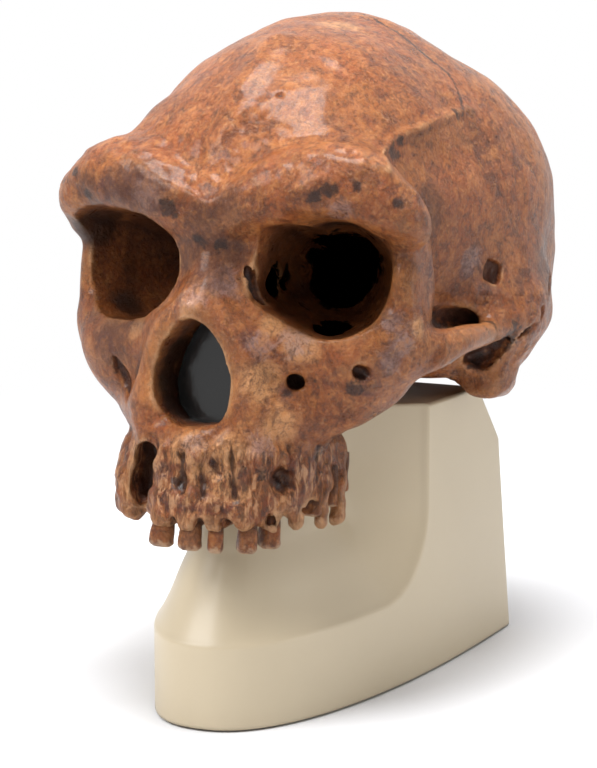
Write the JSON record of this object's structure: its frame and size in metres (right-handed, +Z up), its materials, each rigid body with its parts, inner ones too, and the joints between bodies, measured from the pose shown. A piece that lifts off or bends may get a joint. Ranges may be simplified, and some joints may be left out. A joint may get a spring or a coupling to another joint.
{
  "type": "anatomical skull model",
  "caption": "Hollow cast of an early human cranium with a heavy brow, lifting off a cream moulded stand shaped like a plain lower jaw.",
  "frame": {"origin": "on the floor, under the middle of the whole model's bounding box", "axes": "+Z up; the face looks along -Y; +X is the skull's own left side"},
  "size_m": [0.1471, 0.2223, 0.2323],
  "materials": {
    "painted_bone": "brown paint in patches with a dark wash in the hollows, under a semi-gloss lacquer",
    "painted_tooth": "brown paint worn pale at the tips, semi-gloss",
    "dark_panel": "near-black, glossy",
    "cream_plastic": "cream moulded resin, satin to semi-gloss",
    "plate_plastic": "cream sheet, matte",
    "steel": "turned and brushed",
    "felt": "pressed felt, matte",
    "foot_rubber": "matte"
  },
  "bodies": {
    "stand": {"stand_shell": "cream_plastic", "base_plate": "plate_plastic", "base_screw_1": "steel", "base_screw_2": "steel", "base_screw_3": "steel", "base_screw_4": "steel", "foot_1": "foot_rubber", "foot_2": "foot_rubber", "foot_3": "foot_rubber", "foot_4": "foot_rubber", "support_post": "steel", "post_washer": "steel", "post_nut": "steel", "seat_pad": "felt"},
    "cranium": {"face_shell": "painted_bone", "vault_shell": "painted_bone", "base_shell": "painted_bone", "cheek_arch_left": "painted_bone", "cheek_arch_right": "painted_bone", "post_socket": "steel", "nasal_liner": "dark_panel", "tooth_left_1": "painted_tooth", "tooth_left_2": "painted_tooth", "tooth_left_3": "painted_tooth", "tooth_left_4": "painted_tooth", "tooth_left_5": "painted_tooth", "tooth_left_6": "painted_tooth", "tooth_left_7": "painted_tooth", "tooth_left_8": "painted_tooth", "tooth_right_1": "painted_tooth", "tooth_right_6": "painted_tooth", "tooth_right_7": "painted_tooth"}
  },
  "joints": [
    {"name": "cranium_lift", "type": "slide", "parent": "stand", "child": "cranium", "axis": [0, 0, 1], "range_m": [0, 0.08]}
  ]
}
